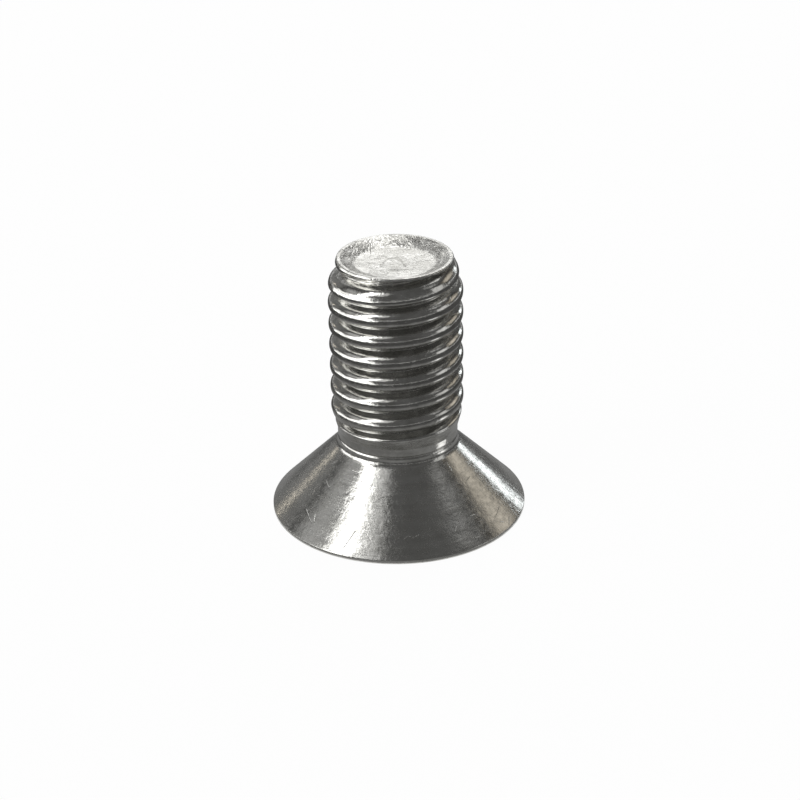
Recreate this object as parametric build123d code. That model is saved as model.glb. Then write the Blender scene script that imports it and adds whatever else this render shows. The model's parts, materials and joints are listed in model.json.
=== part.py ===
from build123d import *
from build123d.topology import SkipClean
import os
from math import ceil, cos, radians, tan

# A countersunk machine screw, M6 x 12, standing on its flat head with the point up.
# Millimetres. The origin is the centre of the head's flat face, and +Z runs up the shank to the point.

# Head
head_diameter = 11.4
head_cone_angle = 90.0
rim_height = 0.12
rim_rounding = 0.05

# Overall length, the head included, as countersunk screws are measured
screw_length = 12.0

# Neck: the plain stretch between the head and the thread, with the run-out above it
neck_diameter = 5.35
neck_height = 0.80
neck_fillet = 0.45
run_out_height = 1.05

# Thread: right-handed, single start, coarse
thread_diameter = 5.90
thread_pitch = 1.00
flank_angle = 60.0
crest_flat = 0.125
root_flat = 0.18
groove_start_direction = -175.0
groove_top_below_point = 0.32
groove_fade_offset = 0.45
groove_fade_angle = 130.0
crest_faces_per_turn = 16

# Point: the crests taper in towards a chamfer, and a shallow cup lies inside a narrow rounded rim
taper_height = 0.70
taper_end_diameter = 5.48
point_chamfer_height = 0.55
point_diameter = 5.04
point_rounding = 0.12
cup_mouth_diameter = 4.55
cup_floor_diameter = 3.50
cup_depth = 0.28
cup_lip_rounding = 0.08
cup_bend_radius = 0.50

# Hexagon socket in the head's flat face
socket_across_flats = 4.00
socket_depth = 2.30
socket_mouth_chamfer = 0.15
socket_mouth_angle = 120.0
socket_drill_angle = 120.0

# Worked out from the sizes above
head_radius = head_diameter / 2
neck_radius = neck_diameter / 2
thread_radius = thread_diameter / 2
head_height = rim_height + (head_radius - neck_radius) / tan(radians(head_cone_angle / 2))
run_out_start = head_height + neck_height
thread_start = run_out_start + run_out_height
taper_end = screw_length - point_chamfer_height
thread_end = taper_end - taper_height


def screw_outline():
    """Half the section through the axis, without the thread or the socket: radius, height, corner rounding."""
    corners = [
        (0, 0, 0),
        (head_radius, 0, rim_rounding),
        (head_radius, rim_height, rim_rounding),
        (neck_radius, head_height, neck_fillet),
        (neck_radius, run_out_start, 0),
        (thread_radius, thread_start, 0),
        (thread_radius, thread_end, 0),
        (taper_end_diameter / 2, taper_end, 0),
        (point_diameter / 2, screw_length, point_rounding),
        (cup_mouth_diameter / 2, screw_length, cup_lip_rounding),
        (cup_floor_diameter / 2, screw_length - cup_depth, cup_bend_radius),
        (0, screw_length - cup_depth, 0),
    ]
    edge = FilletPolyline(
        *[(radius, height) for radius, height, _ in corners],
        radius=[rounding for _, _, rounding in corners],
        close=True,
    )
    return Plane.XZ * make_face(edge)


def blank():
    """The turned body. Its full-diameter stretch is in sectors, so that each face of the crest is a short arc."""
    sector_angle = 360 / crest_faces_per_turn
    stretch = thread_end - thread_start
    sector = Pos(0, 0, thread_start) * Cylinder(thread_radius, stretch, arc_size=sector_angle, align=None)
    sectors = [Rot(0, 0, place * sector_angle) * sector for place in range(crest_faces_per_turn)]
    return revolve(screw_outline(), axis=Axis.Z) + sectors


def groove_section(helix, share):
    """The V between two crests, its root flat, drawn across the groove at a share of the helix's length."""
    half_angle = radians(flank_angle / 2)
    half_width = (thread_pitch - crest_flat) / 2
    half_root = root_flat / 2
    depth = (half_width - half_root) / tan(half_angle)
    overcut = crest_flat / 4
    half_mouth = half_width + overcut * tan(half_angle)
    corners = [(-depth, -half_root), (-depth, half_root), (overcut, half_mouth), (overcut, -half_mouth)]
    return groove_plane(helix, share) * make_face(Polyline(*corners, close=True))


def groove_plane(helix, share):
    """The plane across the groove: X points away from the screw's axis and Z along the helix."""
    place = helix @ share
    return Plane(origin=place, x_dir=(place.X, place.Y, 0), z_dir=helix % share)


def groove_end(helix, share, turn):
    """The end of the groove, which fades out as it turns about a line off the screw's axis."""
    plane = groove_plane(helix, share)
    centre = plane.origin - plane.x_dir * (thread_radius + groove_fade_offset)
    return revolve(
        groove_section(helix, share),
        axis=Axis(centre, plane.y_dir * turn),
        revolution_arc=groove_fade_angle,
    )


def thread_groove():
    """The thread's groove as cutters of just under a turn each, and one that fades out at each end."""
    bottom = run_out_start + thread_pitch / 2
    top = screw_length - groove_top_below_point
    pieces = ceil((top - bottom) / thread_pitch)
    rise = (top - bottom) / pieces
    turn = 360 * rise / thread_pitch
    helix = Helix(thread_pitch, rise, thread_radius, center=(0, 0, bottom))
    first = sweep(groove_section(helix, 0), path=helix, is_frenet=True)
    steps = [Pos(0, 0, piece * rise) * Rot(0, 0, piece * turn) for piece in range(pieces)]
    cutters = [step * first for step in steps]
    cutters.append(groove_end(helix, 0, 1))
    cutters.append(steps[-1] * groove_end(helix, 1, -1))
    return [Rot(0, 0, groove_start_direction) * cutter for cutter in cutters]


def hexagon_socket():
    """The socket's hexagon with a drilled cone at its bottom and a conical chamfer at its mouth."""
    flats_radius = socket_across_flats / 2
    corner_radius = flats_radius / cos(radians(30))
    hexagon = extrude(RegularPolygon(corner_radius, 6), socket_depth)
    cone_height = flats_radius / tan(radians(socket_drill_angle / 2))
    drill = Pos(0, 0, socket_depth + cone_height / 2) * Cone(flats_radius, 0, cone_height)
    mouth_radius = corner_radius + socket_mouth_chamfer
    mouth_height = mouth_radius / tan(radians(socket_mouth_angle / 2))
    mouth = Pos(0, 0, mouth_height / 2) * Cone(mouth_radius, 0, mouth_height)
    return hexagon + drill + mouth


def screw():
    """The whole screw, one piece of steel."""
    with SkipClean():
        return blank() - thread_groove() - hexagon_socket()


os.makedirs("parts", exist_ok=True)
export_step(screw(), "parts/screw.step")
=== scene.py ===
import json
from math import cos, pi, radians, sin, tan

import bmesh
import bpy
from bpy.props import FloatProperty, FloatVectorProperty, IntProperty, PointerProperty
from mathutils import Matrix, Vector


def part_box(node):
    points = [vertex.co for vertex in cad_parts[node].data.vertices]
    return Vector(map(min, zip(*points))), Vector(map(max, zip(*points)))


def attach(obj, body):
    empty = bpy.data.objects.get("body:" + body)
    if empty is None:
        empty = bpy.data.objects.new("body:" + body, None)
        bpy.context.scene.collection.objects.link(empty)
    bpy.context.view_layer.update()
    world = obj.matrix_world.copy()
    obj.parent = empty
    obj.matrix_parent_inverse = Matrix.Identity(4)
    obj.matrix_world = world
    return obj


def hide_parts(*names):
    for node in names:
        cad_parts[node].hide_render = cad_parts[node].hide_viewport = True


bl_info = {
    "name": "Countersunk Machine Screw",
    "version": (1, 0, 0),
    "blender": (4, 5, 0),
    "location": "3D View > Sidebar > Screw",
    "description": "A countersunk machine screw with a rolled thread, standing on its head",
    "category": "Add Mesh",
}

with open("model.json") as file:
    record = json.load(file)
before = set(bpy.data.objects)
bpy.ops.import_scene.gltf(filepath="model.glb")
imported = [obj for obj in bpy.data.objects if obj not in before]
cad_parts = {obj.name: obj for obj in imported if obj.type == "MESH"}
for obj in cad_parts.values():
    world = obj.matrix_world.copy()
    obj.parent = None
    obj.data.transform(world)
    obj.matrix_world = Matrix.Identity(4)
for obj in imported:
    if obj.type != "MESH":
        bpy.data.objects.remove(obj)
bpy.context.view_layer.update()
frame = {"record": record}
solid_low, solid_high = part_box("screw")
MM = 0.001
thread_mount = next(mount for mount in frame["record"]["mounts"] if mount["name"] == "thread")
thread_radius = thread_mount["dims"]["r_mm"] * MM
HEXAGON_SIDES = 6


def size(label, description, default):
    """A length that a user can change, in metres."""
    return FloatProperty(
        name=label, description=description, default=default, unit="LENGTH", subtype="DISTANCE", precision=5
    )


def turn(label, description, default):
    """An angle that a user can change, in radians."""
    return FloatProperty(
        name=label, description=description, default=default, unit="ROTATION", subtype="ANGLE"
    )


def shade(label, description, default):
    """A colour that a user can change."""
    return FloatVectorProperty(
        name=label, description=description, default=default, subtype="COLOR", size=3, min=0.0, max=1.0
    )


def whole(label, description, default, least):
    """A whole number that a user can change."""
    return IntProperty(name=label, description=description, default=default, min=least)


class ScrewSizes(bpy.types.PropertyGroup):
    """The screw's sizes: the solid model's, but with a worn thread, a higher rim and a deeper cup."""

    screw_length: size("Length", "Overall length, the head included", solid_high.z - solid_low.z)
    head_diameter: size("Head diameter", "Diameter of the flat head at its rim", solid_high.x - solid_low.x)
    head_cone_angle: turn("Head cone angle", "Whole angle of the cone under the head", radians(90))
    rim_height: size("Rim height", "Height of the narrow upright rim of the head", 0.18 * MM)
    rim_rounding: size("Rim rounding", "Radius that breaks the edges of the rim", 0.05 * MM)
    neck_diameter: size("Neck diameter", "Diameter of the plain neck and of the blank", 5.35 * MM)
    neck_fillet: size("Neck fillet", "Radius between the cone and the neck", 0.45 * MM)
    run_out_start: size("Run-out start", "Height where the thread begins to rise from the neck", 3.945 * MM)
    run_out_height: size("Run-out height", "Height over which the crest rises to its full size", 1.05 * MM)
    thread_diameter: size("Thread diameter", "Diameter over the crests", 2 * thread_radius)
    thread_pitch: size("Thread pitch", "Rise of the thread in one turn", 1.0 * MM)
    flank_angle: turn("Flank angle", "Whole angle between the two flanks", radians(60))
    crest_radius: size("Crest radius", "Radius of the worn, rounded crest", 0.40 * MM)
    groove_depth: size("Groove depth", "Depth of the groove at its root", 0.475 * MM)
    root_rounding: size("Root rounding", "How far the root blends into the flanks", 0.03 * MM)
    end_groove_depth: size("End groove depth", "Depth of the groove near the point", 0.46 * MM)
    body_blend: size("Body blend", "How far the thread blends into the neck and the point", 0.05 * MM)
    crest_height: size("Crest height", "Height of a crest towards +X, less whole turns", 0.43 * MM)
    groove_start: size("Groove start", "Height along the groove where it begins to sink in", 4.12 * MM)
    groove_end: size("Groove end", "Height along the groove where it begins to fade out", 11.70 * MM)
    rim_band: size("Rim band", "Height of the rim of the point that the groove leaves alone", 0.20 * MM)
    ring_height: size("Ring height", "Height of the shallow ring turned into the neck", 3.56 * MM)
    ring_width: size("Ring width", "Half the width of the shallow ring", 0.09 * MM)
    ring_depth: size("Ring depth", "Depth of the shallow ring", 0.035 * MM)
    groove_fade: size("Groove fade", "Height over which the groove fades at either end", 0.50 * MM)
    taper_height: size("Taper height", "Height over which the crests taper in towards the point", 0.70 * MM)
    taper_end_diameter: size("Taper end", "Diameter where the taper meets the point's chamfer", 5.48 * MM)
    chamfer_height: size("Point chamfer", "Height of the chamfer at the point", 0.55 * MM)
    point_diameter: size("Point diameter", "Diameter of the chamfer where it meets the rim", 5.04 * MM)
    point_rounding: size("Point rounding", "Radius on the outer edge of the point's rim", 0.07 * MM)
    cup_mouth_diameter: size("Cup mouth", "Diameter of the cup at the rim", 4.74 * MM)
    cup_floor_diameter: size("Cup floor", "Diameter of the flat floor of the cup", 3.44 * MM)
    cup_depth: size("Cup depth", "Depth of the cup in the point", 0.32 * MM)
    cup_lip_rounding: size("Cup lip", "Radius on the inner edge of the point's rim", 0.06 * MM)
    cup_bend: size("Cup bend", "Radius between the cup's wall and its floor", 0.50 * MM)
    socket_flats: size("Socket width", "Width of the hexagon socket across its flats", 4.00 * MM)
    socket_depth: size("Socket depth", "Depth of the hexagon", 2.30 * MM)
    socket_chamfer: size("Socket chamfer", "How far the chamfer reaches past the corners", 0.15 * MM)
    socket_cone_angle: turn(
        "Socket cone angle", "Whole angle of the mouth's chamfer and of the drilled bottom", radians(120)
    )
    columns: whole("Columns", "Points around the screw, a multiple of six", 180, 48)
    rows_per_turn: whole("Rows", "Rows of faces across one pitch", 32, 12)


class SteelFinish(bpy.types.PropertyGroup):
    """The colours of the steel."""

    steel_colour: shade("Steel", "Colour of bright steel", (0.62, 0.615, 0.59))
    dull_colour: shade("Dull steel", "Colour of the steel where it is stained", (0.40, 0.395, 0.37))


class StageSettings(bpy.types.PropertyGroup):
    """Where the camera stands and how the studio is lit."""

    camera_distance: size("Camera distance", "From the camera to the middle of the shank", 93.13 * MM)
    camera_elevation: turn("Camera elevation", "How far the camera looks down", radians(26.324))
    camera_pan: turn("Camera pan", "Turn of the camera to the side", radians(0.074))
    camera_tilt: turn("Camera tilt", "Turn of the camera up or down", radians(0.456))
    camera_roll: turn("Camera roll", "Turn of the picture about its middle", radians(0.992))
    aim_height: size("Aim height", "Height on the screw's axis that the camera looks at", 5.9 * MM)
    lens: FloatProperty(
        name="Lens", description="Focal length in millimetres on a 36 mm sensor", default=94.73
    )
    floor_size: size("Floor size", "Width of the floor", 3.0)
    tent_radius: size("Tent radius", "Radius of the dark tent that the steel mirrors", 0.90)
    soft_box_distance: size("Soft box distance", "From the screw to the soft boxes", 0.50)
    floor_colour: shade("Floor", "Colour of the floor", (0.90, 0.90, 0.90))


class Formula:
    """A number inside a node tree. Python's own signs on it add Math nodes."""

    def __init__(self, tree, socket):
        self.tree = tree
        self.socket = socket

    def math(self, operation, *others, clamp=False):
        """What a Math node makes of this number and the others."""
        values = dict(enumerate((self, *others)))
        node = add_node(self.tree, "ShaderNodeMath", values, operation=operation, use_clamp=clamp)
        return Formula(self.tree, node.outputs[0])

    def __add__(self, other):
        return self.math("ADD", other)

    def __sub__(self, other):
        return self.math("SUBTRACT", other)

    def __rsub__(self, other):
        return self.math("MULTIPLY_ADD", -1.0, other)

    def __mul__(self, other):
        return self.math("MULTIPLY", other)

    def __truediv__(self, other):
        return self.math("DIVIDE", other)

    def ramp(self, low, high, smooth=True):
        """0 below low, 1 above high and a smooth or straight rise between."""
        kind = "SMOOTHSTEP" if smooth else "LINEAR"
        values = {"Value": self, "From Min": low, "From Max": high}
        node = add_node(self.tree, "ShaderNodeMapRange", values, interpolation_type=kind)
        return Formula(self.tree, node.outputs["Result"])

    def between(self, low, high):
        """low where this number is 0 and high where it is 1, for plain numbers or a formula as high."""
        return self * (high - low) + low


def add_node(tree, kind, values=None, **settings):
    """A new node with these values at its inputs, placed on a grid so that the tree can be read."""
    node = tree.nodes.new(kind)
    count = len(tree.nodes)
    node.location = (200 * (count % 12), -220 * (count // 12))
    for name, value in settings.items():
        setattr(node, name, value)
    for name, value in (values or {}).items():
        plug(value, node.inputs[name])
    return node


def plug(value, socket):
    """Links a formula or a socket to an input, or sets the input to a plain value."""
    if isinstance(value, Formula):
        value = value.socket
    if isinstance(value, bpy.types.NodeSocket):
        socket.id_data.links.new(value, socket)
    else:
        socket.default_value = value


def vector(tree, x, y, z):
    """A vector from three numbers."""
    return add_node(tree, "ShaderNodeCombineXYZ", {0: x, 1: y, 2: z}).outputs[0]


def parts_of(tree, socket):
    """The three numbers of a vector."""
    node = add_node(tree, "ShaderNodeSeparateXYZ", {0: socket})
    return [Formula(tree, output) for output in node.outputs]


def length_of(x, y):
    """The length of a flat vector."""
    return (x * x + y * y).math("SQRT")


def point_place(tree):
    """The three numbers of each point's place, in geometry nodes."""
    return parts_of(tree, add_node(tree, "GeometryNodeInputPosition").outputs[0])


def object_place(tree):
    """The three numbers of a place on the object, in shader nodes and in metres."""
    return parts_of(tree, add_node(tree, "ShaderNodeTexCoord").outputs["Object"])


def tree_input(tree, name, kind, default=None):
    """A named input on a node tree."""
    socket = tree.interface.new_socket(name, in_out="INPUT", socket_type=kind)
    if default is not None:
        socket.default_value = default
    return socket


def tree_output(tree, name, kind):
    """A named output on a node tree."""
    return tree.interface.new_socket(name, in_out="OUTPUT", socket_type=kind)


def empty_material(name):
    """A new material with an empty node tree."""
    material = bpy.data.materials.new(name)
    material.use_nodes = True
    material.node_tree.nodes.clear()
    return material, material.node_tree


def end_with(tree, shader, ending="ShaderNodeOutputMaterial"):
    """Ends a tree of shader nodes with this shader."""
    plug(shader.outputs[0], add_node(tree, ending).inputs["Surface"])


def finished_mesh(name, shape):
    """A shape that was built face by face, as a mesh of this name."""
    mesh = bpy.data.meshes.new(name)
    shape.to_mesh(mesh)
    shape.free()
    return mesh


# The turned blank, as rings of points that are joined to one another


class Blank:
    """Rings of points around the axis, joined into faces that look outwards."""

    def __init__(self, columns):
        self.mesh = bmesh.new()
        self.columns = columns
        self.last = None

    def ring(self, place, finish):
        """Adds a ring, whose radius and height may follow the angle, and joins it to the last one."""
        angles = [2 * pi * column / self.columns for column in range(self.columns)]
        points = []
        for angle in angles:
            radius, height = place(angle)
            points.append(self.mesh.verts.new((radius * cos(angle), radius * sin(angle), height)))
        if self.last is not None:
            self.join(points, finish)
        self.last = points

    def join(self, points, finish):
        """Faces between the last ring, or the point on the axis, and the new ring."""
        for column in range(self.columns):
            after = (column + 1) % self.columns
            if len(self.last) == 1:
                corners = [self.last[0], points[after], points[column]]
            else:
                corners = [self.last[column], self.last[after], points[after], points[column]]
            self.mesh.faces.new(corners).material_index = finish

    def start_on_axis(self, height):
        """Begins at a point on the axis."""
        self.last = [self.mesh.verts.new((0, 0, height))]

    def end_on_axis(self, height, finish):
        """Closes the last ring with a point on the axis."""
        tip = self.mesh.verts.new((0, 0, height))
        for column in range(self.columns):
            after = (column + 1) % self.columns
            self.mesh.faces.new([self.last[column], self.last[after], tip]).material_index = finish

    def leave_gap(self):
        """The next ring isn't joined to the last one."""
        self.last = None


def plain_ring(radius, height):
    """A round ring at one height."""
    return lambda angle: (radius, height)


def hexagon_radius(flats_radius, angle):
    """The distance from the axis to a hexagon's side, in this direction."""
    side = 2 * pi / HEXAGON_SIDES
    return flats_radius / cos(angle % side - side / 2)


def rounded(corners, steps=6):
    """The corners' radii and heights, with the points of an arc for each corner that has a rounding."""
    points = [Vector(corners[0][:2])]
    for before, corner, after in zip(corners, corners[1:], corners[2:]):
        middle, rounding = Vector(corner[:2]), corner[2]
        back = (Vector(before[:2]) - middle).normalized()
        ahead = (Vector(after[:2]) - middle).normalized()
        half = back.angle(ahead) / 2
        if rounding == 0:
            points.append(middle)
            continue
        centre = middle + (back + ahead).normalized() * rounding / sin(half)
        start = middle + back * rounding / tan(half) - centre
        way = 1 if back.x * ahead.y - back.y * ahead.x < 0 else -1
        for step in range(steps + 1):
            bend = way * (pi - 2 * half) * step / steps
            points.append(centre + Matrix.Rotation(bend, 2) @ start)
    points.append(Vector(corners[-1][:2]))
    return points


def spaced(points, longest):
    """The points with others between them, so that no step is longer than that."""
    result = [points[0]]
    for start, end in zip(points, points[1:]):
        steps = max(1, round((end - start).length / longest))
        result += [start.lerp(end, step / steps) for step in range(1, steps + 1)]
    return result


# The finishes, by the numbers that the faces carry
HEAD, THREAD, POINT, SOCKET = range(4)

# How finely the blank is divided
HEAD_SPACING = 0.09 * MM
POINT_SPACING = 0.045 * MM
POINT_ARC_STEPS = 8
CUP_MIDDLE = 0.1 * MM
SOCKET_BOTTOM_PARTS = (0.25, 0.5, 0.75, 1.0)
SOCKET_WALL_ROWS = 24
SOCKET_MOUTH_PARTS = (0.33, 0.66, 1.0)


def thread_gap(sizes):
    """The height where the thread's own faces begin, and how many turns they cover."""
    low = sizes.crest_height
    while low + sizes.thread_pitch < sizes.run_out_start:
        low += sizes.thread_pitch
    turns = int((sizes.screw_length - sizes.point_rounding - low) / sizes.thread_pitch)
    return low, turns


def add_socket(blank, sizes):
    """The hexagon socket, from its drilled bottom to the chamfer at its mouth."""
    flats = sizes.socket_flats / 2
    corners = flats / cos(pi / HEXAGON_SIDES)
    slope = 1 / tan(sizes.socket_cone_angle / 2)
    mouth = corners + sizes.socket_chamfer
    blank.start_on_axis(sizes.socket_depth + flats * slope)
    for part in SOCKET_BOTTOM_PARTS:
        blank.ring(plain_ring(flats * part, sizes.socket_depth + flats * slope * (1 - part)), SOCKET)
    for row in range(SOCKET_WALL_ROWS + 1):
        part = 1 - row / SOCKET_WALL_ROWS

        def wall(angle, part=part):
            radius = hexagon_radius(flats, angle)
            chamfer = (mouth - radius) * slope
            return radius, chamfer + (sizes.socket_depth - chamfer) * part

        blank.ring(wall, SOCKET)
    for part in SOCKET_MOUTH_PARTS:
        blank.ring(
            lambda angle, part=part: (
                hexagon_radius(flats, angle) * (1 - part) + mouth * part,
                (mouth - hexagon_radius(flats, angle)) * slope * (1 - part),
            ),
            SOCKET,
        )
    return mouth


def add_head(blank, sizes, mouth, top):
    """The head's flat face, its rim and cone, and the neck up to the thread."""
    rim = sizes.head_diameter / 2
    neck = sizes.neck_diameter / 2
    cone_top = sizes.rim_height + (rim - neck) / tan(sizes.head_cone_angle / 2)
    corners = [
        (mouth, 0, 0),
        (rim, 0, sizes.rim_rounding),
        (rim, sizes.rim_height, sizes.rim_rounding),
        (neck, cone_top, sizes.neck_fillet),
        (neck, top, 0),
    ]
    for radius, height in spaced(rounded(corners), HEAD_SPACING)[1:]:
        blank.ring(plain_ring(radius, height), THREAD if height > cone_top else HEAD)


def point_slopes(sizes):
    """How much the radius falls for each unit of height, on the taper and on the chamfer."""
    taper = (sizes.thread_diameter - sizes.taper_end_diameter) / 2 / sizes.taper_height
    chamfer = (sizes.taper_end_diameter - sizes.point_diameter) / 2 / sizes.chamfer_height
    return taper, chamfer


def add_point(blank, sizes, bottom):
    """The chamfer above the thread, the rim around the point and the cup inside it."""
    top = sizes.screw_length
    taper_end = top - sizes.chamfer_height
    taper_slope, _ = point_slopes(sizes)
    corners = [
        (sizes.taper_end_diameter / 2 + (taper_end - bottom) * taper_slope, bottom, 0),
        (sizes.taper_end_diameter / 2, taper_end, 0),
        (sizes.point_diameter / 2, top, sizes.point_rounding),
        (sizes.cup_mouth_diameter / 2, top, sizes.cup_lip_rounding),
        (sizes.cup_floor_diameter / 2, top - sizes.cup_depth, sizes.cup_bend),
        (CUP_MIDDLE, top - sizes.cup_depth, 0),
    ]
    for radius, height in spaced(rounded(corners, POINT_ARC_STEPS), POINT_SPACING):
        below_rim = height < top - sizes.point_rounding and radius > sizes.cup_mouth_diameter / 2
        blank.ring(plain_ring(radius, height), THREAD if below_rim else POINT)
    blank.end_on_axis(top - sizes.cup_depth, POINT)


def turned_blank(sizes, low, turns):
    """The whole blank, open where the thread's faces go."""
    blank = Blank(sizes.columns)
    mouth = add_socket(blank, sizes)
    add_head(blank, sizes, mouth, low)
    blank.leave_gap()
    add_point(blank, sizes, low + turns * sizes.thread_pitch)
    return finished_mesh("screw", blank.mesh)


# The thread, whose faces follow its helix

WELD_DISTANCE = 1e-6
# How strongly the strip's rows crowd together at the crest and the root
CROWDING = 0.5
# The share of the rim band over which the groove fades out
RIM_FADE = 0.6


SOCKET_KINDS = {float: "NodeSocketFloat", int: "NodeSocketInt"}


def thread_tree(sizes):
    """Geometry nodes that add the thread's faces to an open blank and press the groove into it."""
    tree = bpy.data.node_groups.new("Rolled thread", "GeometryNodeTree")
    tree_output(tree, "Geometry", "NodeSocketGeometry")
    tree_input(tree, "Blank", "NodeSocketGeometry")
    for name, value in sizes.items():
        tree_input(tree, name, SOCKET_KINDS[type(value)])
    tree_input(tree, "Finish", "NodeSocketMaterial")
    given = add_node(tree, "NodeGroupInput").outputs
    put_in = {socket.name: Formula(tree, socket) for socket in given}
    strip = thread_strip(tree, put_in)
    join = add_node(tree, "GeometryNodeJoinGeometry")
    plug(strip, join.inputs[0])
    plug(put_in["Blank"], join.inputs[0])
    welding = {"Geometry": join.outputs[0], "Distance": WELD_DISTANCE}
    weld = add_node(tree, "GeometryNodeMergeByDistance", welding)
    pressed = press_groove(tree, put_in, weld.outputs[0])
    smooth = add_node(tree, "GeometryNodeSetShadeSmooth", {"Geometry": pressed})
    real = add_node(tree, "GeometryNodeRealizeInstances", {0: smooth.outputs[0]})
    _, _, height = point_place(tree)
    top = put_in["Lower edge"] + put_in["Pitch"] * put_in["Turns"]
    in_thread = height.math("GREATER_THAN", put_in["Lower edge"]) * height.math("LESS_THAN", top)
    painting = {"Geometry": real.outputs[0], "Selection": in_thread, "Material": put_in["Finish"]}
    paint = add_node(tree, "GeometryNodeSetMaterial", painting)
    add_node(tree, "NodeGroupOutput", {0: paint.outputs[0]})
    return tree


def thread_strip(tree, put_in):
    """One strip of faces that winds up the shank, growing in its first turn and shrinking in its last."""
    lower_edge, pitch, turns = put_in["Lower edge"], put_in["Pitch"], put_in["Turns"]
    counts = {"Vertices X": put_in["Columns"] * (turns + 1) + 1, "Vertices Y": put_in["Rows"] + 1}
    grid = add_node(tree, "GeometryNodeMeshGrid", {"Size X": 1.0, "Size Y": 1.0, **counts})
    across, along, _ = point_place(tree)
    station = (across + 0.5) * (turns + 1)
    part = along + 0.5
    part = part - (part * (4 * pi)).math("SINE") * (CROWDING / (4 * pi))
    low = lower_edge + pitch * (station - 1).math("MAXIMUM", 0.0)
    high = lower_edge + pitch * station.math("MINIMUM", turns)
    height = low + (high - low) * part
    angle = station.math("FRACT") * (2 * pi)
    rise = ((height - put_in["Run out start"]) / put_in["Run out height"]).math("MULTIPLY", 1.0, clamp=True)
    radius = put_in["Neck radius"] + (put_in["Thread radius"] - put_in["Neck radius"]) * rise
    radius = radius - point_taper(put_in, height)
    wound = vector(tree, radius * angle.math("COSINE"), radius * angle.math("SINE"), height)
    moved = {"Geometry": grid.outputs["Mesh"], "Position": wound}
    return add_node(tree, "GeometryNodeSetPosition", moved).outputs[0]


def point_taper(put_in, height):
    """How much less the radius is at this height, on the taper and the chamfer of the point."""
    tapered = (height.math("MINIMUM", put_in["Chamfer start"]) - put_in["Taper start"]).math("MAXIMUM", 0.0)
    chamfered = (height - put_in["Chamfer start"]).math("MAXIMUM", 0.0)
    return tapered * put_in["Taper slope"] + chamfered * put_in["Chamfer slope"]


def press_groove(tree, put_in, geometry):
    """Moves the points above the lower edge in to the ring in the neck and to the rounded thread."""
    pitch = put_in["Pitch"]
    across, along, height = point_place(tree)
    radius = length_of(across, along)
    turned = along.math("ARCTAN2", across) / (2 * pi)
    wave = ((height - put_in["Crest height"]) / pitch - turned).math("FRACT") - 0.5
    groove_height = height - wave * pitch
    from_crest = (0.5 - wave.math("ABSOLUTE")) * pitch
    crest, half_angle = put_in["Crest radius"], put_in["Half flank angle"]
    arc_end = crest * half_angle.math("COSINE")
    on_arc = from_crest.math("MINIMUM", arc_end)
    on_flank = (from_crest - arc_end).math("MAXIMUM", 0.0)
    depth = crest - (crest * crest - on_arc * on_arc).math("SQRT") + on_flank / half_angle.math("TANGENT")
    depth = depth.math("SMOOTH_MIN", put_in["Groove depth"], put_in["Root rounding"])
    near_point = groove_height.ramp(put_in["Taper start"], put_in["Chamfer start"])
    depth = depth * near_point.between(1.0, put_in["End groove depth"] / put_in["Groove depth"])
    fade = put_in["Groove fade"]
    sunk = groove_height.ramp(put_in["Groove start"], put_in["Groove start"] + fade)
    faded = groove_height.ramp(put_in["Groove end"], put_in["Groove end"] + fade)
    on_rim = height.ramp(put_in["Rim bottom"], put_in["Rim bottom"] + put_in["Rim fade"])
    depth = depth * sunk * (1.0 - faded) * (1.0 - on_rim)
    crests = put_in["Thread radius"] - point_taper(put_in, height)
    surface = (crests - depth).math("SMOOTH_MIN", radius, put_in["Body blend"])
    off_ring = ((height - put_in["Ring height"]) / put_in["Ring width"]).math("ABSOLUTE")
    surface = surface - (1.0 - off_ring.ramp(0.0, 1.0)) * put_in["Ring depth"]
    factor = surface / radius.math("MAXIMUM", WELD_DISTANCE)
    moved = {
        "Geometry": geometry,
        "Selection": height.math("GREATER_THAN", put_in["Lower edge"] + WELD_DISTANCE),
        "Position": vector(tree, across * factor, along * factor, height),
    }
    return add_node(tree, "GeometryNodeSetPosition", moved).outputs[0]


# Finishes


def shader_group(name, inputs, outputs):
    """An empty group of shader nodes with these inputs and outputs, and its input sockets as formulas."""
    tree = bpy.data.node_groups.new(name, "ShaderNodeTree")
    for label, default in inputs:
        kind = "NodeSocketVector" if default is None else "NodeSocketFloat"
        tree_input(tree, label, kind, default)
    for label in outputs:
        tree_output(tree, label, "NodeSocketFloat")
    given = {socket.name: Formula(tree, socket) for socket in add_node(tree, "NodeGroupInput").outputs}
    return tree, given


def noise(tree, place, scale, detail=2.0, roughness=0.5):
    """A noise value, around 0.5, at a place in millimetres. The scale is in bumps per millimetre."""
    values = {"Vector": place, "Scale": scale, "Detail": detail, "Roughness": roughness}
    return Formula(tree, add_node(tree, "ShaderNodeTexNoise", values, noise_dimensions="3D").outputs[0])


BANDS_PER_LINE = 0.16


def turning_lines_group():
    """Fine lines that run around the screw, as turning and rolling leave them."""
    tree, given = shader_group(
        "Lines around the screw",
        [("Place", None), ("Lines per mm", 14.0), ("Turns of a line", 0.25)],
        ["Lines", "Bands"],
    )
    across, along, height = parts_of(tree, given["Place"])
    run = (height - length_of(across, along)) * given["Lines per mm"]
    slow = given["Turns of a line"]
    lines = noise(tree, vector(tree, across * slow, along * slow, run), 1.0, detail=3.0, roughness=0.65)
    bands = noise(tree, vector(tree, across * slow, along * slow, run * BANDS_PER_LINE), 1.0)
    masks = {"Lines": lines.ramp(0.28, 0.72, smooth=False), "Bands": bands.ramp(0.32, 0.68)}
    add_node(tree, "NodeGroupOutput", masks)
    return tree


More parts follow.
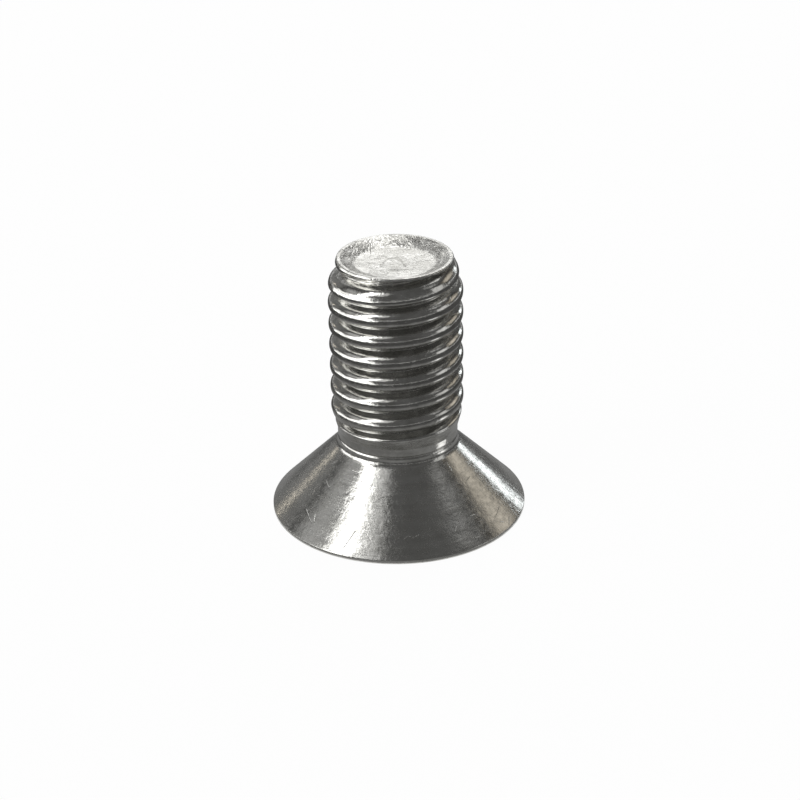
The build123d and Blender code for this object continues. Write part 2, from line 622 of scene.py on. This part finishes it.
def scratch_group():
    """Short straight scratches that lie in every direction, each in a patch of its own."""
    tree, given = shader_group(
        "Scratches",
        [("Place", None), ("Patches per mm", 1.0), ("Width", 0.02), ("Turn", 0.0)],
        ["Scratches"],
    )
    patches = {"Vector": given["Place"], "Scale": given["Patches per mm"], "Randomness": 0.9}
    cells = add_node(tree, "ShaderNodeTexVoronoi", patches, feature="F1", voronoi_dimensions="3D")
    red, green, blue = parts_of(tree, cells.outputs["Color"])
    both = {0: given["Place"], 1: cells.outputs["Position"]}
    from_middle = add_node(tree, "ShaderNodeVectorMath", both, operation="SUBTRACT")
    x, y, z = parts_of(tree, from_middle.outputs[0])
    angle = red * (2 * pi) + given["Turn"]
    tilt = (green - 0.5) * pi
    flat = x * angle.math("COSINE") + y * angle.math("SINE")
    off_line = (flat * tilt.math("COSINE") + z * tilt.math("SINE")).math("ABSOLUTE")
    mark = 1.0 - (off_line / given["Width"]).math("MULTIPLY", 1.0, clamp=True)
    distance = Formula(tree, cells.outputs["Distance"])
    mark = mark * (1.0 - distance.ramp(0.30, 0.46)) * blue.ramp(0.35, 0.75)
    add_node(tree, "NodeGroupOutput", {"Scratches": mark})
    return tree


def stain_group():
    """Cloudy stains, fine specks and small pits, in millimetres."""
    tree, given = shader_group(
        "Stains and specks",
        [("Place", None), ("Clouds per mm", 0.9), ("Specks per mm", 7.0)],
        ["Clouds", "Specks", "Pits"],
    )
    clouds = noise(tree, given["Place"], given["Clouds per mm"], detail=4.0, roughness=0.62)
    specks = noise(tree, given["Place"], given["Specks per mm"], detail=3.0, roughness=0.7)
    pits = noise(tree, given["Place"], given["Specks per mm"] * 1.7, detail=1.0)
    masks = {
        "Clouds": clouds.ramp(0.34, 0.66),
        "Specks": specks.ramp(0.30, 0.70, smooth=False),
        "Pits": pits.ramp(0.68, 0.76),
    }
    add_node(tree, "NodeGroupOutput", masks)
    return tree


class SteelSurface:
    """A steel material under construction, with the shared groups at hand."""

    def __init__(self, name, groups, finish):
        self.material, self.tree = empty_material(name)
        self.groups = groups
        self.finish = finish
        to_mm = {0: add_node(self.tree, "ShaderNodeTexCoord").outputs["Object"], "Scale": 1 / MM}
        self.place = add_node(self.tree, "ShaderNodeVectorMath", to_mm, operation="SCALE").outputs[0]

    def group(self, name, **values):
        """The outputs of a shared group, placed with these input values."""
        inputs = {label.replace("_", " "): value for label, value in values.items()}
        inputs["Place"] = self.place
        node = add_node(self.tree, "ShaderNodeGroup", inputs, node_tree=self.groups[name])
        return {socket.name: Formula(self.tree, socket) for socket in node.outputs}

    def finish_with(self, dull, roughness, height, depth, anisotropy=0.0):
        """Closes the material: where it is dull, how rough, and how far its pattern stands out."""
        bright = (*self.finish.steel_colour, 1.0)
        colours = {"Factor": dull, "A": bright, "B": (*self.finish.dull_colour, 1.0)}
        colour = add_node(self.tree, "ShaderNodeMix", colours, data_type="RGBA").outputs["Result"]
        pattern = {"Strength": 1.0, "Distance": depth, "Height": height}
        bump = add_node(self.tree, "ShaderNodeBump", pattern).outputs[0]
        steel = {"Base Color": colour, "Metallic": 1.0, "Roughness": roughness, "Normal": bump}
        shader = add_node(self.tree, "ShaderNodeBsdfPrincipled", steel)
        if anisotropy:
            x, y, _ = parts_of(self.tree, self.place)
            plug(anisotropy, shader.inputs["Anisotropic"])
            plug(0.25, shader.inputs["Anisotropic Rotation"])
            plug(vector(self.tree, y * -1.0, x, 0.0), shader.inputs["Tangent"])
        end_with(self.tree, shader)
        return self.material


def turned_steel(groups, finish):
    """The head: turned and worn, with fine lines around it and light scratches."""
    surface = SteelSurface("turned_steel", groups, finish)
    lines = surface.group("lines", Lines_per_mm=13.0, Turns_of_a_line=0.22)
    marks = surface.group("scratches", Patches_per_mm=0.75, Width=0.022)["Scratches"]
    small = surface.group("scratches", Patches_per_mm=1.7, Width=0.014, Turn=1.3)["Scratches"]
    stains = surface.group("stains", Clouds_per_mm=0.8, Specks_per_mm=8.0)
    wear = surface.group("stains", Clouds_per_mm=4.5, Specks_per_mm=14.0)
    dull = stains["Clouds"] * 0.35 + lines["Bands"] * 0.25 + wear["Clouds"] * 0.25
    roughness = lines["Lines"] * 0.06 + wear["Clouds"] * 0.10 + wear["Specks"] * 0.04 + 0.13
    height = lines["Lines"] * 0.7 + lines["Bands"] * 1.6 + wear["Specks"] * 0.3 + wear["Clouds"] * 1.0
    height = height + stains["Clouds"] * 3.0 - (marks + small) * 2.6
    return surface.finish_with(dull, roughness, height, 0.0020 * MM, anisotropy=0.5)


def rolled_steel(groups, finish):
    """The thread and the neck: burnished by rolling, with clouds and small pits."""
    surface = SteelSurface("rolled_steel", groups, finish)
    lines = surface.group("lines", Lines_per_mm=10.0, Turns_of_a_line=0.5)
    marks = surface.group("scratches", Patches_per_mm=1.5, Width=0.016)["Scratches"]
    stains = surface.group("stains", Clouds_per_mm=1.4, Specks_per_mm=9.0)
    dull = stains["Clouds"] * 0.5 + lines["Bands"] * 0.35 + stains["Pits"] * 0.4
    roughness = lines["Lines"] * 0.04 + stains["Specks"] * 0.04 + 0.13
    height = lines["Lines"] * 0.4 + lines["Bands"] * 1.8 + stains["Specks"] * 0.4 + stains["Clouds"] * 3.5
    height = height - marks * 1.6
    return surface.finish_with(dull, roughness, height - stains["Pits"] * 0.3, 0.0020 * MM)


# The mark on the cup's floor, in millimetres: an arch, and a dent in front of it
ARCH_X, ARCH_Y = -0.08, -0.45
ARCH_RADIUS = 0.52
ARCH_SQUEEZE = 0.52
ARCH_WIDTH = 0.10
DENT_X, DENT_Y = 0.03, -0.56
DENT_RADIUS = 0.45


def pressed_steel(groups, finish):
    """The cup in the point: matte and mottled."""
    surface = SteelSurface("pressed_steel", groups, finish)
    stains = surface.group("stains", Clouds_per_mm=1.6, Specks_per_mm=6.0)
    marks = surface.group("scratches", Patches_per_mm=1.1, Width=0.02, Turn=0.5)["Scratches"]
    x, y, _ = parts_of(surface.tree, surface.place)
    off_arch = (length_of(x - ARCH_X, (y - ARCH_Y) * ARCH_SQUEEZE) - ARCH_RADIUS).math("ABSOLUTE")
    arch = (1.0 - off_arch.ramp(0.0, ARCH_WIDTH)) * (y - ARCH_Y).ramp(0.0, ARCH_WIDTH)
    dent = 1.0 - length_of(x - DENT_X, y - DENT_Y).ramp(0.0, DENT_RADIUS)
    dull = stains["Clouds"] * 0.6 + stains["Specks"] * 0.3 + arch * 0.5 + dent * 0.3
    roughness = stains["Specks"] * 0.16 + 0.24
    height = stains["Specks"] * 0.9 + stains["Clouds"] * 6.0 - marks * 3.0 - stains["Pits"] * 1.4
    height = height - arch * 4.0 - dent * 8.0
    return surface.finish_with(dull, roughness, height, 0.004 * MM)


def broached_steel(groups, finish):
    """The hexagon socket: plain, with lines along its walls."""
    surface = SteelSurface("broached_steel", groups, finish)
    stains = surface.group("stains", Clouds_per_mm=1.2, Specks_per_mm=6.0)
    x, y, z = parts_of(surface.tree, surface.place)
    grooves = noise(surface.tree, vector(surface.tree, x, y, z * 0.06), 14.0, detail=3.0, roughness=0.6)
    dull = stains["Clouds"] * 0.6 + 0.1
    roughness = stains["Specks"] * 0.10 + 0.30
    return surface.finish_with(dull, roughness, grooves + stains["Specks"] * 0.5, 0.004 * MM)


def steel_materials(finish):
    """The screw's four finishes, in the order of their face numbers."""
    groups = {"lines": turning_lines_group(), "scratches": scratch_group(), "stains": stain_group()}
    makers = {HEAD: turned_steel, THREAD: rolled_steel, POINT: pressed_steel, SOCKET: broached_steel}
    return [makers[number](groups, finish) for number in sorted(makers)]


# The operators


class SCREW_OT_build(bpy.types.Operator):
    """Makes the screw: a turned blank with the thread rolled on it"""

    bl_idname = "screw.build"
    bl_label = "Screw"

    def execute(self, context):
        sizes = context.scene.screw_sizes
        low, turns = thread_gap(sizes)
        mesh = turned_blank(sizes, low, turns)
        for material in steel_materials(context.scene.steel_finish):
            mesh.materials.append(material)
        screw = bpy.data.objects.new("threaded_screw", mesh)
        context.scene.collection.objects.link(screw)
        roll_thread(screw, sizes, low, turns)
        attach(screw, "root")
        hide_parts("screw")
        return {"FINISHED"}


# The sizes that the thread's tree takes as they are, in inputs of the same names
PLAIN_SIZES = (
    "run_out_start", "run_out_height", "crest_height", "crest_radius", "root_rounding", "body_blend",
    "groove_depth", "end_groove_depth", "groove_start", "groove_end", "groove_fade",
    "ring_height", "ring_width", "ring_depth",
)


def thread_sizes(sizes, low, turns):
    """The thread's lengths, angles and counts, by the names of the tree's inputs."""
    taper_slope, chamfer_slope = point_slopes(sizes)
    chamfer_start = sizes.screw_length - sizes.chamfer_height
    plain = {name.replace("_", " ").capitalize(): getattr(sizes, name) for name in PLAIN_SIZES}
    return plain | {
        "Lower edge": low,
        "Turns": turns,
        "Columns": sizes.columns,
        "Rows": sizes.rows_per_turn,
        "Pitch": sizes.thread_pitch,
        "Thread radius": sizes.thread_diameter / 2,
        "Neck radius": sizes.neck_diameter / 2,
        "Taper start": chamfer_start - sizes.taper_height,
        "Taper slope": taper_slope,
        "Chamfer start": chamfer_start,
        "Chamfer slope": chamfer_slope,
        "Rim bottom": sizes.screw_length - sizes.rim_band,
        "Rim fade": sizes.rim_band * RIM_FADE,
        "Half flank angle": sizes.flank_angle / 2,
    }


def roll_thread(screw, sizes, low, turns):
    """Runs the thread's nodes on the blank and keeps the result as a plain mesh."""
    values = thread_sizes(sizes, low, turns)
    tree = thread_tree(values)
    values["Finish"] = screw.data.materials[THREAD]
    rolling = screw.modifiers.new("Rolled thread", "NODES")
    rolling.node_group = tree
    for socket in tree.interface.items_tree:
        if socket.name in values:
            rolling[socket.identifier] = values[socket.name]
    graph = bpy.context.evaluated_depsgraph_get()
    rolled = bpy.data.meshes.new_from_object(screw.evaluated_get(graph))
    screw.modifiers.remove(rolling)
    screw.data = rolled


class SCREW_OT_stage(bpy.types.Operator):
    """Makes the floor, the tent, the soft boxes and the camera"""

    bl_idname = "screw.stage"
    bl_label = "Stage"

    def execute(self, context):
        settings = context.scene.screw_stage
        context.scene.view_settings.view_transform = "Standard"
        white_world(context.scene)
        make_floor(settings)
        make_tent(settings)
        for name, soft_box in SOFT_BOXES.items():
            make_soft_box(name, settings.soft_box_distance, **soft_box)
        # A card of painted reflection: painted dark and bright reflections that only the steel shows
        make_painted_reflection_card()
        make_camera(context.scene, settings)
        return {"FINISHED"}


# The colours of the light
WHITE = (1.0, 1.0, 1.0)
BLUISH = (0.92, 0.97, 1.0)
WARM = (1.0, 0.92, 0.80)

# Soft boxes: direction and half sizes in degrees, light, and the share of a side over which it fades
SOFT_BOXES = {
    "window": dict(azimuth=206, elevation=38, half_width=9.5, half_height=33, light=5.0, fade=0.5),
    "window_foot": dict(azimuth=205, elevation=9, half_width=25, half_height=12, light=3.4, fade=0.2),
    "window_glow": dict(azimuth=178, elevation=34, half_width=23, half_height=16, light=0.55, fade=0.7),
    "window_side": dict(azimuth=233, elevation=56, half_width=8, half_height=13, light=0.85, fade=0.25),
    "left_panel": dict(azimuth=124, elevation=46, half_width=7, half_height=17, light=0.6, fade=0.3),
    "left_slit": dict(
        azimuth=135, elevation=11, half_width=1.8, half_height=7, light=2.4, fade=0.5, tint=WARM
    ),
    "low_left": dict(azimuth=168, elevation=6, half_width=20, half_height=6, light=2.2, fade=0.4),
    "right_strip": dict(azimuth=34, elevation=59, half_width=5, half_height=11, light=1.6, fade=0.5),
    "low_front": dict(azimuth=350, elevation=14, half_width=13, half_height=16, light=1.0, fade=0.25),
    "right_lamp": dict(azimuth=355, elevation=52, half_width=9, half_height=8, light=0.6, fade=0.4),
    "low_right": dict(
        azimuth=48, elevation=9, half_width=3.7, half_height=9, light=3.6, fade=0.2, tint=BLUISH
    ),
    "warm_right": dict(
        azimuth=25, elevation=26, half_width=20, half_height=15, light=0.85, fade=0.8, tint=WARM
    ),
    "back_panel": dict(azimuth=90, elevation=29, half_width=24, half_height=13, light=2.1, fade=0.3),
    "overhead": dict(azimuth=78, elevation=63, half_width=14, half_height=16, light=3.4, fade=0.2),
}

# The tent: its light at the horizon, elsewhere and on its paler side, and where these change
TENT_HORIZON = 0.17
TENT_DARK = 0.12
TENT_PALE = 0.22
TENT_PALE_AZIMUTH = 145
TENT_PALE_SIDE = (-0.2, 1.0)
TENT_PALE_TOP = (0.45, 0.75)
HORIZON_FADE = 0.22

# The painted reflection card: its painted dark reflection near the head and further out, and where it
# changes, in head radii
CARD_LIGHT_NEAR = 0.26
CARD_LIGHT_FAR = 0.09
CARD_NEAR = 1.5
CARD_FAR = 3.0

# The card's hole in head radii, its width and how far it lies above the floor
CARD_GAP = 1.01
CARD_WIDTH = 0.30
CARD_LIFT = 0.02 * MM

# The card's painted bright reflections in metres: a side, between two cosines and two radii, and a spot
# near the head
PAINTED_BRIGHT_SIDE = dict(azimuth=192, inner=0.640, full=0.780, start=0.0400, end=0.0600, light=4.0)
PAINTED_BRIGHT_SPOT = dict(azimuth=350, distance=0.0092, inner=0.0008, outer=0.0022, light=1.6)

# The floor: how white it shows near the screw, and where it turns plain white, as shares of its size
FLOOR_WHITE = 0.97
FLOOR_FADE = (0.06, 0.15)

# The sides of the round floor and of the round card
ROUND_SIDES = 96


def white_world(scene):
    """A world that is plain white to the camera and to the gloss, and gives no light of its own."""
    world = bpy.data.worlds.new("white_surround")
    world.use_nodes = True
    tree = world.node_tree
    tree.nodes.clear()
    white = {"Color": (*WHITE, 1.0), "Strength": seen_directly(tree)}
    end_with(tree, add_node(tree, "ShaderNodeBackground", white), "ShaderNodeOutputWorld")
    scene.world = world


def seen_directly(tree):
    """1 for rays from the camera, for gloss and through glass, and 0 for rays that light matte things."""
    rays = add_node(tree, "ShaderNodeLightPath").outputs
    seen = Formula(tree, rays["Is Camera Ray"]) + Formula(tree, rays["Is Glossy Ray"])
    return seen.math("ADD", Formula(tree, rays["Is Transmission Ray"]), clamp=True)


def staged(name, mesh, material):
    """Puts a mesh on the stage: it isn't part of the screw."""
    mesh.materials.append(material)
    thing = bpy.data.objects.new(name, mesh)
    bpy.context.scene.collection.objects.link(thing)
    return thing


def make_floor(settings):
    """A round pale floor, plain white towards its edge, that keeps a soft shadow near the screw."""
    material, tree = empty_material("pale_floor")
    material.cycles.emission_sampling = "NONE"
    paint = add_node(tree, "ShaderNodeBsdfDiffuse", {"Color": (*settings.floor_colour, 1.0)})
    white = add_node(tree, "ShaderNodeEmission", {"Strength": 1.0})
    x, y, _ = object_place(tree)
    far = length_of(x, y).ramp(*(settings.floor_size * part for part in FLOOR_FADE))
    share = far.between(FLOOR_WHITE, 1.0) * seen_directly(tree)
    mixed = {0: share, 1: paint.outputs[0], 2: white.outputs[0]}
    end_with(tree, add_node(tree, "ShaderNodeMixShader", mixed))
    disc = bmesh.new()
    bmesh.ops.create_circle(disc, cap_ends=True, segments=ROUND_SIDES, radius=settings.floor_size / 2)
    staged("floor", finished_mesh("floor", disc), material)


def glow(name, strength_from, lights_the_screw=False):
    """A material that only gives light, at the strength that a function adds to its nodes."""
    material, tree = empty_material(name)
    if not lights_the_screw:
        material.cycles.emission_sampling = "NONE"
    light = add_node(tree, "ShaderNodeEmission")
    strength_from(tree, light)
    end_with(tree, light)
    return material


def make_tent(settings):
    """A dim dome around the stage, paler on one side, that keeps the steel's reflections dark."""

    def dim_light(tree, light):
        x, y, z = object_place(tree)
        pale = radians(TENT_PALE_AZIMUTH)
        side = (x * cos(pale) + y * sin(pale)) / settings.tent_radius
        low = 1.0 - (z / settings.tent_radius).math("ABSOLUTE").ramp(0.0, HORIZON_FADE)
        pale_side = side.ramp(*TENT_PALE_SIDE) * (1.0 - (z / settings.tent_radius).ramp(*TENT_PALE_TOP))
        dim = low * (TENT_HORIZON - TENT_DARK) + pale_side * (TENT_PALE - TENT_DARK) + TENT_DARK
        plug(dim, light.inputs["Strength"])

    dome = bmesh.new()
    bmesh.ops.create_icosphere(dome, subdivisions=4, radius=settings.tent_radius)
    tent = staged("tent", finished_mesh("tent", dome), glow("tent_cloth", dim_light))
    tent.visible_camera = False


def painted_bright_side(x, y, away):
    """The painted bright reflection of the card's bright side, for a place on the card and its distance
    from the axis.
    """
    way = radians(PAINTED_BRIGHT_SIDE["azimuth"])
    side = ((x * cos(way) + y * sin(way)) / away).ramp(PAINTED_BRIGHT_SIDE["inner"], PAINTED_BRIGHT_SIDE["full"])
    return side * away.ramp(PAINTED_BRIGHT_SIDE["start"], PAINTED_BRIGHT_SIDE["end"]) * PAINTED_BRIGHT_SIDE["light"]


def painted_bright_spot(x, y):
    """The painted bright reflection of the card's bright spot, for a place on the card."""
    way = radians(PAINTED_BRIGHT_SPOT["azimuth"])
    off = length_of(x - PAINTED_BRIGHT_SPOT["distance"] * cos(way), y - PAINTED_BRIGHT_SPOT["distance"] * sin(way))
    return (1.0 - off.ramp(PAINTED_BRIGHT_SPOT["inner"], PAINTED_BRIGHT_SPOT["outer"])) * PAINTED_BRIGHT_SPOT["light"]


def make_painted_reflection_card():
    """A ring of painted reflection on the floor around the screw, dark with painted bright patches, which
    only the steel's reflections show.
    """

    def dim_light(tree, light):
        x, y, _ = object_place(tree)
        away = length_of(x, y)
        far = away.ramp(solid_high.x * CARD_NEAR, solid_high.x * CARD_FAR)
        dim = far.between(CARD_LIGHT_NEAR, CARD_LIGHT_FAR)
        # Painted reflection: dark near the head, with a painted bright side and a painted bright spot
        plug(dim + painted_bright_side(x, y, away) + painted_bright_spot(x, y), light.inputs["Strength"])

    ring = bmesh.new()
    inner = solid_high.x * CARD_GAP
    rims = []
    for radius in (inner, CARD_WIDTH / 2):
        angles = [2 * pi * side / ROUND_SIDES for side in range(ROUND_SIDES)]
        places = [(radius * cos(angle), radius * sin(angle), CARD_LIFT) for angle in angles]
        rims.append([ring.verts.new(place) for place in places])
    for side in range(ROUND_SIDES):
        after = (side + 1) % ROUND_SIDES
        ring.faces.new((rims[0][side], rims[1][side], rims[1][after], rims[0][after]))
    card = staged("painted_reflection_card", finished_mesh("painted_reflection_card", ring), glow("painted_reflection_card", dim_light))
    # Seen only in the steel's gloss, as a painted reflection; it neither lights nor shades anything
    card.visible_camera = False
    card.visible_diffuse = False
    card.visible_transmission = False
    card.visible_shadow = False


def make_soft_box(name, distance, azimuth, elevation, half_width, half_height, light, fade, tint=WHITE):
    """A flat panel that faces the screw and glows, less and less towards its edges."""

    def soft_light(tree, lamp):
        across, along, _ = parts_of(tree, add_node(tree, "ShaderNodeUVMap").outputs[0])
        edge = 1.0
        for place in (across, along):
            inside = 1.0 - (place * 2.0 - 1.0).math("ABSOLUTE")
            edge = inside.ramp(0.0, fade) * edge
        plug((*tint, 1.0), lamp.inputs["Color"])
        plug(edge * light, lamp.inputs["Strength"])

    towards = Matrix.Rotation(radians(azimuth), 3, "Z") @ Matrix.Rotation(-radians(elevation), 3, "Y")
    panel = bmesh.new()
    uv_map = panel.loops.layers.uv.new("UVMap")
    corners = [(-1, -1), (1, -1), (1, 1), (-1, 1)]
    points = []
    for across, along in corners:
        place = Vector((1, across * tan(radians(half_width)), along * tan(radians(half_height)))) * distance
        points.append(panel.verts.new(towards @ place))
    face = panel.faces.new(points)
    for loop, corner in zip(face.loops, corners):
        loop[uv_map].uv = ((corner[0] + 1) / 2, (corner[1] + 1) / 2)
    lit = glow(name + "_light", soft_light, lights_the_screw=True)
    soft_box = staged(name, finished_mesh(name, panel), lit)
    soft_box.visible_camera = False


def make_camera(scene, settings):
    """The camera, in front of the screw and looking down on it."""
    lens = bpy.data.cameras.new("camera")
    lens.lens = settings.lens
    lens.sensor_width = 36.0
    lens.clip_start = 0.001
    lens.clip_end = 10.0
    camera = bpy.data.objects.new("camera", lens)
    scene.collection.objects.link(camera)
    tilt = settings.camera_elevation
    back = Vector((0.0, -cos(tilt), sin(tilt)))
    right = Vector((1.0, 0.0, 0.0))
    level = Matrix((right, back.cross(right), back))
    turned = (
        Matrix.Rotation(settings.camera_roll, 3, "Z")
        @ Matrix.Rotation(settings.camera_tilt, 3, "X")
        @ Matrix.Rotation(settings.camera_pan, 3, "Y")
        @ level
    )
    place = Vector((0.0, 0.0, settings.aim_height)) + back * settings.camera_distance
    camera.matrix_world = Matrix.Translation(place) @ turned.transposed().to_4x4()
    scene.camera = camera


class SCREW_PT_panel(bpy.types.Panel):
    """The screw's sizes, finishes and stage, with the buttons that make them"""

    bl_idname = "SCREW_PT_panel"
    bl_label = "Screw"
    bl_space_type = "VIEW_3D"
    bl_region_type = "UI"
    bl_category = "Screw"

    def draw(self, context):
        for group in (context.scene.screw_sizes, context.scene.steel_finish, context.scene.screw_stage):
            box = self.layout.box()
            for name in group.bl_rna.properties.keys():
                if name not in ("rna_type", "name"):
                    box.prop(group, name)
        for operator in OPERATORS:
            self.layout.operator(operator.bl_idname)


OPERATORS = (SCREW_OT_stage, SCREW_OT_build)
CLASSES = (ScrewSizes, SteelFinish, StageSettings, *OPERATORS, SCREW_PT_panel)


def register():
    """Adds the classes, and the settings to the scene."""
    for item in CLASSES:
        bpy.utils.register_class(item)
    bpy.types.Scene.screw_sizes = PointerProperty(type=ScrewSizes)
    bpy.types.Scene.steel_finish = PointerProperty(type=SteelFinish)
    bpy.types.Scene.screw_stage = PointerProperty(type=StageSettings)


def unregister():
    """Takes the settings and the classes away again."""
    del bpy.types.Scene.screw_stage
    del bpy.types.Scene.steel_finish
    del bpy.types.Scene.screw_sizes
    for item in reversed(CLASSES):
        bpy.utils.unregister_class(item)


def main():
    """Makes everything: registers the settings, then builds the stage and the screw."""
    register()
    bpy.ops.screw.stage()
    bpy.ops.screw.build()


if __name__ == "__main__":
    main()
